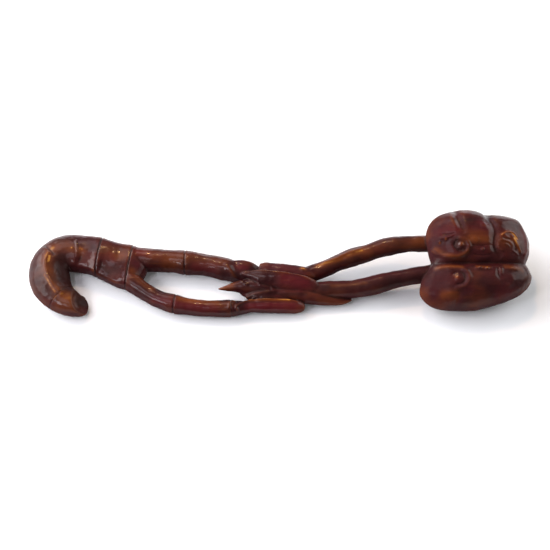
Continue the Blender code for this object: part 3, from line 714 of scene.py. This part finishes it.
def cut(mesh, strokes, placement=Matrix.Identity(4)):
    places, normals = readMesh(mesh)
    turn, local = seenFrom(placement, places)
    facing = np.clip(normals @ turn[:, 2] * 2.0, 0.0, 1.0)
    push = np.zeros(len(places))
    for kind, height, width, points in strokes:
        corners = np.array(points)
        reach = width * 5.0 + 3.0
        near = np.all((local[:, :2] > corners.min(0) - reach) & (local[:, :2] < corners.max(0) + reach), 1)
        near &= (facing > 0.0) & (np.abs(local[:, 2]) < strokeDepth)
        chosen = np.flatnonzero(near)
        best, along, length = lineDistance(local[chosen, :2], points)
        if kind == "dot":
            ends = 1.0
        elif kind == "saddle":
            ends = np.clip(along / saddleStart, 0.0, 1.0) * (1.0 - along / length)
        else:
            ends = np.clip(np.minimum(along, length - along) / (width * 2.5), 0.0, 1.0) ** 0.7
        if kind == "crease":
            profile = np.exp(-best / width * 1.2)
        elif kind == "dot":
            profile = np.exp(-(best / width) ** 4)
        else:
            profile = np.exp(-(best / width) ** 2)
        push[chosen] += height * profile * ends * facing[chosen]
    writeMesh(mesh, places + normals * push[:, None] * mm)


# The hook's tip ends in a slanted face with a shallow hollow in it
tipShape = {
    "middle": (-140.5, -28.6, 9.6), "slant": 50.0, "reach": 12.0, "rim": 0.4,
    "dish": 1.8, "dishRadius": 9.0,
}


def planeTip(mesh):
    shape = tipShape
    placement = (Matrix.Translation(Vector(shape["middle"]) * mm)
                 @ Matrix.Rotation(math.radians(shape["slant"]), 4, "Y"))
    turn, local = seenFrom(placement, readMesh(mesh)[0])
    rim = shape["rim"]  # how far below the plane the wood starts to round over to it
    radius = np.hypot(local[:, 0], local[:, 1])
    above = (radius < shape["reach"]) & (local[:, 2] > -rim) & (local[:, 2] < shape["reach"])
    dish = shape["dish"] * np.clip(1.0 - (radius / shape["dishRadius"]) ** 2, 0.0, 1.0) ** 2
    local[above, 2] = -rim * np.exp(-local[above, 2] - rim) - dish[above]
    writeMesh(mesh, local * mm @ turn.T + np.array(placement.translation))


planeTip(skin)
headSettled = Matrix.Translation((0.0, 0.0, -0.02 * mm)) @ headFrame()  # about as far as settle moved it
cut(skin, headStrokes + rosette, headSettled)
for strokes in (clusterStrokes, handleStrokes, stemStrokes):
    cut(skin, strokes)
print("carving cut")


# The bamboo's joints: the groove, the lip and the swelling that they share, in mm, the slow waves
# in the wood, then each one's (x, y, z, turn in degrees from +X, strength)
jointShape = {
    "grooveDepth": 0.8, "grooveWidth": 0.38, "lipHeight": 0.05, "swellHeight": 0.45, "swellWidth": 5.0,
    "waviness": 1.6, "waveLength": 11.0, "seed": 4.0,
    "joints": [
        (-155.4, -27.0, 9.5, -44.0, 0.4), (-147.5, 13.0, 10.0, 11.0, 0.15),
        (-129.5, 9.5, 10.0, -8.0, 1.1), (-107.2, 0.6, 9.5, -8.0, 1.15), (-67.5, 6.3, 9.3, 0.0, 0.9),
        (-73.8, -28.8, 6.8, -10.0, 0.9), (-33.5, -32.2, 6.1, 5.0, 0.5)],
}


def jointReach(x):
    # how far round its middle a joint goes: it goes farther on the thick handle
    return 19.0 if x < -100.0 else 11.0


def makeJointTree():
    net, given = geometryTree("jointCarver", {
        "Joints": "Object", "Groove Depth": "Float", "Groove Width": "Float", "Lip Height": "Float",
        "Swell Height": "Float", "Swell Width": "Float", "Waviness": "Float", "Wave Length": "Float",
        "Seed": "Float", "Wood": "Material"})
    marks = net.add("GeometryNodeObjectInfo", values={"Object": given("Joints")})("Geometry")
    position = net.add("GeometryNodeInputPosition")()
    normal = net.add("GeometryNodeInputNormal")()
    nearest = net.add("GeometryNodeSampleNearest", {"domain": "POINT"}, {"Geometry": marks})()

    def ofMark(field, kind):
        return net.add("GeometryNodeSampleIndex", {"data_type": kind, "domain": "POINT"}, {
            "Geometry": marks, "Value": field, "Index": nearest})()

    centre = ofMark(position, "FLOAT_VECTOR")
    travel = ofMark(net.named("travel", "FLOAT_VECTOR"), "FLOAT_VECTOR")
    strength = ofMark(net.named("strength"), "FLOAT")
    reach = ofMark(net.named("reach"), "FLOAT")
    offset = net.vector("SUBTRACT", position, centre)
    along = net.vector("DOT_PRODUCT", offset, travel)
    distance = net.add("ShaderNodeVectorMath", {"operation": "LENGTH"}, {0: offset})("Value")
    within = net.add("ShaderNodeMapRange", {"interpolation_type": "SMOOTHSTEP"}, {
        "Value": distance / reach, "From Min": 0.9, "From Max": 1.15, "To Min": 1.0, "To Max": 0.0})()
    width = given("Groove Width")
    groove = net.hump(along, width) * given("Groove Depth")
    lip = net.hump(along - width * 2.1, width) * given("Lip Height")
    swell = net.hump(along, given("Swell Width")) * given("Swell Height")
    noise = net.add("ShaderNodeTexNoise", {"noise_dimensions": "4D"}, {
        "Vector": net.stretch(position, 1.0 / given("Wave Length")), "W": given("Seed"),
        "Scale": 1.0, "Detail": 2.6, "Roughness": 0.5})()
    wave = (noise - 0.5) * given("Waviness")
    height = (lip + swell - groove) * strength * within + wave
    carved = net.add("GeometryNodeSetPosition", values={
        "Geometry": given("Geometry"), "Offset": net.stretch(normal, height)})()
    return finishTree(net, carved, given("Wood"))


def carveJoints(thing):
    shape = jointShape
    rows = shape["joints"]
    mesh = bpy.data.meshes.new("jointMarks")
    mesh.from_pydata([Vector(row[:3]) * mm for row in rows], [], [])
    turns = np.radians([row[3] for row in rows])
    setAttribute(mesh, "travel", np.stack([np.cos(turns), np.sin(turns), turns * 0.0], 1), "FLOAT_VECTOR")
    setAttribute(mesh, "strength", [row[4] for row in rows])
    setAttribute(mesh, "reach", [jointReach(row[0]) * mm for row in rows])
    marks = addObject("jointMarks", mesh)
    carved = grow(makeJointTree(), thing, {
        "Joints": marks, "Groove Depth": shape["grooveDepth"] * mm,
        "Groove Width": shape["grooveWidth"] * mm, "Lip Height": shape["lipHeight"] * mm,
        "Swell Height": shape["swellHeight"] * mm, "Swell Width": shape["swellWidth"] * mm,
        "Waviness": shape["waviness"] * mm, "Wave Length": shape["waveLength"] * mm,
        "Seed": shape["seed"], "Wood": wood})
    bpy.data.objects.remove(marks)
    thing.data = carved


carveJoints(carving)
print("joints carved")


def thin(thing, triangles):
    count = sum(len(face.vertices) - 2 for face in thing.data.polygons)
    if count > triangles:
        decimate = thing.modifiers.new("thin", "DECIMATE")
        decimate.ratio = triangles / count
        mesh = frozen(thing)
        thing.modifiers.remove(decimate)
        thing.data = mesh


def standOnTable(mesh):
    # plane the underside flat at the table, and bring the layout to the middle of the CAD box
    places = readMesh(mesh)[0]
    places[:, 2] = np.maximum(places[:, 2], 0.0)
    places += np.array(layoutShift) * mm
    margin = 0.02 * mm
    low, high = np.array(cadBox) + np.array([[margin], [-margin]])
    writeMesh(mesh, np.clip(places, [low[0], low[1], 0.0], high))


# The wood's colouring by place, each (strength, width, points) seen from above, in mm: where hands have
# rubbed the varnish thin, with painted gold glints on its strong thin spots; where the wood shows redder;
# where dark varnish pools, with painted shade in shaded places such as the hook's crook and the tip's end
# face; and where the varnish shines more or less than round about, which also makes the colour darker or
# lighter as a painted shade.
wearAndGlintPlaces = [
    (0.65, 4.0, [(-164, 10), (-167, 2), (-165.5, -6), (-161, -15), (-156, -23),
        (-150, -28)]),
    (0.6, 5.0, [(-152, -31), (-146, -31.5)]), (0.5, 3.4, [(-149.2, 10.7), (-141.9, 9)]),
    # Thin spots of strength near 1 turn the wood gold: these are painted glints, here on the hook's crest,
    # joints and tip, and below on a leaf, the head's lobe, its bosses and the rosette
    (1.0, 0.7, [(-166.6, -12.1), (-163.9, -16.4), (-160.8, -21.7), (-157.7, -25.9)]),
    (0.9, 0.9, [(-164.1, 3.6), (-164.5, -1.3)]), (0.8, 0.8, [(-149.2, 11.5)]),
    (0.8, 0.8, [(-143.2, 11.2), (-141.6, 10.6)]),
    (0.8, 0.7, [(-158.6, -30.3), (-157, -28.6)]), (0.8, 0.6, [(-153.6, -27.3), (-152.4, -27)]),
    (0.5, 5.0, [(-160, 13), (-154, 14)]), (0.35, 5.0, [(-124, 10), (-114, 6)]),
    (0.2, 4.0, [(-104, 9), (-96, 8)]), (0.35, 5.0, [(-90, 6.4), (-62, 4.6), (-40, 2)]),
    (0.3, 4.0, [(30, -1), (60, 9), (104, 14)]),
    (0.5, 2.6, [(-105, -6), (-98, -14), (-90, -20)]),
    (0.7, 2.6, [(-70, -27.6), (-44, -30)]),
    (0.6, 2.6, [(-43, -16.8), (-34, -15.8)]), (0.9, 1.0, [(-20, -28), (8, -28.2)]),
    (1.0, 1.3, [(16.4, -4), (18.8, -4.4)]), (0.8, 1.8, [(28, -1.6), (44, 2.6), (60, 8)]),
    (0.5, 1.4, [(38, -18), (62, -17)]),
    (0.5, 1.5, [(111.4, 2.3), (118.1, -3.4), (126.5, -5.5), (133.4, -2.6)]),
    (0.5, 2.4, [(136, 5.4), (148, 4.6)]),
    (0.4, 5.0, [(159, 4), (166, 6)]), (0.7, 1.6, [(111.7, -11.4), (119.4, -11.7), (129, -12.6)]),
    (0.7, 1.4, [(140, -12.4), (148, -13)]), (0.6, 1.8, [(160, -12), (172, -13)]),
    (0.5, 3.0, [(115.8, -31), (124, -31.6)]), (0.9, 0.6, [(118.5, 6.5)]), (0.9, 0.7, [(114.5, 5)]),
    (0.7, 0.6, [(146.6, -14)]), (1.0, 1.2, [(129.8, 2.2)]), (0.9, 1.1, [(125, -20.4)]),
    (0.7, 0.9, [(157.8, 8.6), (163.8, 11.4), (169.4, 6.8)]), (0.8, 0.9, [(167, 6.8), (171, -0.6)]),
]
ruddyPlaces = [
    (0.9, 4.6, [(112.5, 13.3), (126.5, 12.4)]), (0.8, 4.0, [(155, -33), (164, -31)]),
    (0.8, 4.5, [(4, -14), (24, -17)]), (0.9, 3.6, [(-20, -33), (14, -33)]),
    (0.7, 3.0, [(174, 15), (176.5, 8), (176, 1)]), (0.5, 3.0, [(-10, -2), (12, -4)]),
    (0.6, 3.0, [(-88, -28), (-66, -33), (-44, -35)]),
    (0.5, 2.4, [(-120.9, 6.7), (-118.8, 2.3)]), (0.6, 2.4, [(-29.6, -2.2), (-23.2, -3.1)]),
    (0.9, 3.0, [(-136, -32), (-134, -29)]),
    (0.7, 3.0, [(-102, 9), (-95, 7.6)]), (0.6, 2.6, [(-106, 2), (-101, -1)]),
    (0.5, 4.0, [(-60, -2), (-46, -4)]), (0.5, 4.0, [(144, 18), (150, 14)]),
]
# painted shade: in and round the hook, on the tip's end face, in the groove between the caps, round the
# boss, on the lower stem and in the leaf cluster, together with varnish pooled there
shadeAndPoolPlaces = [
    (1.0, 5.2, [(-155.5, 2), (-153, -5), (-152, -12.5), (-148.8, -21)]),
    (0.42, 14.0, [(-160, 10), (-160, -14)]),
    (1.0, 4.6, [(-138, -26), (-135.4, -30)]), (0.3, 1.4, [(113, -7.4), (172, -7.4)]),
    (1.0, 1.3, [(126, 5.7), (125, 1.9), (126.8, -1.1), (130.4, -1.4)]),
    (0.6, 3.0, [(-26, -24), (-20, -25)]),
    (0.25, 2.0, [(152, 12), (151.4, 4), (153, -2.4), (158, -6.8)]),
    (0.5, 5.0, [(140, -24), (150, -26)]), (0.5, 4.0, [(134, 20), (130, 12)]),
    (0.7, 1.2, [(-26, -13), (-14, -20), (2, -23), (20, -23)]),
    (0.8, 4.0, [(26, -18.5), (45, -20), (70, -18), (105, -13)]),
    (0.5, 6.0, [(-172, 16), (-178, 4), (-176, -10), (-168, -23)]),
    (0.5, 3.4, [(-24, -25.5), (-12, -26)]),
]
# Glossy places take back dulling; matte places and faces that turn to the left lose coat and, with it, take
# the darker side colour as a painted shade
glossyPlaces = [
    (1.0, 2.4, [(128.4, 2.4)]), (1.0, 2.2, [(124.6, -20.4)]), (1.0, 3.0, [(110.4, -7), (112.5, -9.5)]),
    (1.0, 2.0, [(154.5, -12), (154, -17)]), (0.8, 1.8, [(141.8, -13.2), (147, -14)]),
    (1.0, 4.5, [(-141, 3.5), (-133, 0)]), (1.0, 6.0, [(-124, -3), (-112, -9)]),
    (1.0, 3.5, [(-94, 6), (-72, 5.5)]), (0.8, 3.0, [(-38, -1), (-30, -6)]),
]
matteAndShadePlaces = [
    (0.4, 14.0, [(116, -26), (134, -28), (156, -26)]),
    (0.5, 6.0, [(30, -17), (104, -12)]),
    (0.8, 4.5, [(-157, 3), (-154, -5), (-152, -12.5), (-149, -20)]),
    (0.5, 3.0, [(-12, -2.6), (14, -4)]),
    (0.6, 5.0, [(-138, -27), (-135, -31)]), (0.7, 3.6, [(-104, 1.5), (-100, -3)]),
]


def paint(spots, normals, places):
    # how strongly each spot carries the colour of a list of places
    total = np.zeros(len(spots))
    for strength, width, points in places:
        best = lineDistance(spots, points)[0]
        total += strength * np.exp(-(best / width) ** 2)
    return total * np.clip(normals[:, 2] * 2.0 + 0.3, 0.0, 1.0)


# How the form itself colours the wood. Hollows and edges are found by smoothing the skin, a few turns for
# the fine ones and many for the broad ones, and the hollows take a painted shade. Pairs are (start, span)
# of a ramp from 0 to 1, in mm, but in polish they tell how far a face looks up; faces that look less up
# take a darker painted shade.
markShape = {
    "fineTurns": 14, "broadTurns": 60, "evenTurns": 2,
    "hollowShadeAndPool": (0.03, 0.28), "edge": (0.16, 0.5), "wearAndGlint": (0.9, 2.4), "mostWear": 0.3,
    "jointPooled": 0.8, "jointWidth": 0.6,
    "polishAndTopLight": (-0.05, 0.55), "leastPolish": 0.12,
    "leftDull": 0.45, "headDull": 0.45, "head": (96.0, 12.0), "mostDull": 0.9,
}


def ramp(values, ends):
    start, span = ends
    return np.clip((values - start) / span, 0.0, 1.0)


def markWood(mesh):
    # what the wood's colours follow: hollows with their painted shade, edges, wear with painted glints,
    # redder spots, and polish with the painted shade of faces that turn from the top
    shape = markShape
    places, normals = readMesh(mesh)
    edges = np.empty(len(mesh.edges) * 2, np.int32)
    mesh.edges.foreach_get("vertices", edges)
    first, second = edges.reshape(-1, 2).T
    count = np.bincount(first, minlength=len(places)) + np.bincount(second, minlength=len(places))

    def spread(values):
        total = (np.bincount(first, values[second], len(places))
                 + np.bincount(second, values[first], len(places)))
        return total / np.maximum(count, 1)

    def depthAfter(soft, turns):
        for turn in range(turns):
            soft = np.stack([spread(soft[:, axis]) for axis in range(3)], 1)
        depth = np.sum((soft - places) * normals, 1) / mm
        for turn in range(shape["evenTurns"]):
            depth = spread(depth)
        return soft, depth

    soft, fine = depthAfter(places, shape["fineTurns"])
    soft, broad = depthAfter(soft, shape["broadTurns"])
    spots = places[:, :2] / mm - np.array(layoutShift[:2])
    # painted shade in the listed places, with the varnish pooled there, and the dark joint lines, added to
    # the hollows' own shade
    darkPoolAndShade = paint(spots, normals, shadeAndPoolPlaces)
    for x, y, z, turn, strength in jointShape["joints"]:
        way = np.array((math.cos(math.radians(turn)), math.sin(math.radians(turn))))
        offset = spots - (x, y)
        within = np.hypot(offset[:, 0], offset[:, 1]) < jointReach(x)
        line = np.exp(-((offset @ way) / shape["jointWidth"]) ** 2)
        darkPoolAndShade += shape["jointPooled"] * strength * line * within
    setAttribute(mesh, "hollowShadeAndPool", np.clip(ramp(fine, shape["hollowShadeAndPool"]) + darkPoolAndShade, 0.0, 1.0))
    setAttribute(mesh, "edge", ramp(-fine, shape["edge"]))
    # wear on the broad rounded forms, then the listed worn places and the painted glints
    wearAndGlintAmount = np.minimum(ramp(-broad, shape["wearAndGlint"]), shape["mostWear"])
    wearAndGlintAmount += paint(spots, normals, wearAndGlintPlaces)
    setAttribute(mesh, "wearAndGlint", np.clip(wearAndGlintAmount, 0.0, 1.0))
    setAttribute(mesh, "ruddy", np.clip(paint(spots, normals, ruddyPlaces), 0.0, 1.0))
    # painted shade: the less a face looks up, the less polish it has and the more of the darker side colour
    # it takes
    polishAndTopLight = np.maximum(ramp(normals[:, 2], shape["polishAndTopLight"]), shape["leastPolish"])
    dull = shape["leftDull"] + shape["headDull"] * ramp(places[:, 0] / mm, shape["head"])
    matte = dull * np.clip(-normals[:, 0] * 2.0, 0.0, 1.0) + paint(spots, normals, matteAndShadePlaces)
    matte = np.clip(matte - paint(spots, normals, glossyPlaces), 0.0, shape["mostDull"])
    setAttribute(mesh, "polishAndTopLight", polishAndTopLight * (1.0 - matte))


thin(carving, skinShape["triangles"])
standOnTable(carving.data)
markWood(carving.data)
carving.data.materials.clear()
carving.data.materials.append(wood)
carving.data.shade_smooth()
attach(carving, "root")
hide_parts("scepter")
print("scepter finished:", len(carving.data.polygons), "faces")


# The studio: a pale table, soft panels of light round it and one small warm lamp behind. Each
# light is its place, size, power and colour, in metres and watts.
studio = {
    "floorColour": (0.92, 0.92, 0.91), "floorGlow": 0.04, "floorRoughness": 0.75, "floorSize": 8.0,
    "airColour": (0.97, 0.98, 1.0), "horizonGlow": 0.1, "zenithGlow": 0.19, "glowEnds": (0.05, 0.75),
    "lights": {
        "leftWindow": ((-1.5, 0.5, 0.86), (2.6, 1.3), 63.0, (0.94, 0.95, 0.99)),
        "frontPanel": ((-0.46, -0.38, 0.52), (0.24, 0.18), 1.5, (0.88, 0.9, 1.0)),
        "backPanel": ((0.2, 1.2, 0.18), (1.6, 0.22), 2.6, (0.94, 0.92, 1.0)),
        "rightPanel": ((1.5, 0.6, 0.9), (2.2, 1.4), 19.0, (0.92, 0.95, 0.97)),
        "topPanel": ((-0.55, 0.85, 1.25), (1.3, 0.8), 5.6, (0.9, 0.86, 1.0)),
        "nearPanel": ((-0.42, -0.22, 1.2), (0.52, 0.36), 1.9, (0.92, 0.87, 1.0)),
        "farLamp": ((-0.1, 0.66, 1.0), (0.045, 0.045), 2.2, (1.0, 0.6, 0.26)),
    },
    "litSpot": (0.0, 0.0, 0.01),  # what every light is turned to
}


def aim(thing, target):
    thing.rotation_euler = (Vector(target) - thing.location).to_track_quat("-Z", "Y").to_euler()


def makeStudio():
    bpy.ops.mesh.primitive_plane_add(size=studio["floorSize"])
    floor = bpy.context.object
    floor.name = "floor"
    paper = bpy.data.materials.new("palePaper")
    net = freshNet(paper)
    shader = net.add("ShaderNodeBsdfPrincipled", values={
        "Base Color": (*studio["floorColour"], 1.0), "Roughness": studio["floorRoughness"],
        "Emission Color": (1.0, 1.0, 1.0, 1.0), "Emission Strength": studio["floorGlow"]})()
    net.add("ShaderNodeOutputMaterial", values={"Surface": shader})
    floor.data.materials.append(paper)
    for name, (place, size, power, colour) in studio["lights"].items():
        lamp = bpy.data.lights.new(name, "AREA")
        lamp.shape = "ELLIPSE"
        lamp.size, lamp.size_y = size
        lamp.energy = power
        lamp.color = colour
        holder = bpy.data.objects.new(name, lamp)
        bpy.context.scene.collection.objects.link(holder)
        holder.location = place
        aim(holder, studio["litSpot"])
    world = bpy.data.worlds.new("studioAir")
    net = freshNet(world)
    direction = net.add("ShaderNodeTexCoord")("Generated")
    height = net.add("ShaderNodeSeparateXYZ", values={0: direction})("Z")
    low, high = studio["glowEnds"]
    glow = net.add("ShaderNodeMapRange", {"interpolation_type": "SMOOTHSTEP"}, {
        "Value": height, "From Min": low, "From Max": high,
        "To Min": studio["horizonGlow"], "To Max": studio["zenithGlow"]})()
    air = net.add("ShaderNodeBackground", values={"Color": (*studio["airColour"], 1.0), "Strength": glow})()
    net.add("ShaderNodeOutputWorld", values={"Surface": air})
    bpy.context.scene.world = world


# The camera looks along +Y and down at the photograph's angle
cameraView = {"target": (-2.7, -4.0, 10.0), "distance": 945.5, "elevation": 56.0, "lens": 86.0}


def makeCamera():
    data = bpy.data.cameras.new("camera")
    data.lens = cameraView["lens"]
    data.sensor_width = 36.0
    camera = bpy.data.objects.new("camera", data)
    bpy.context.scene.collection.objects.link(camera)
    rise = math.radians(cameraView["elevation"])
    back = Vector((0.0, -math.cos(rise), math.sin(rise)))
    camera.location = (Vector(cameraView["target"]) + back * cameraView["distance"]) * mm
    camera.rotation_euler = (math.pi / 2 - rise, 0.0, 0.0)
    bpy.context.scene.camera = camera


makeStudio()
makeCamera()
bpy.context.scene.view_settings.view_transform = "Standard"
print("studio and camera set")
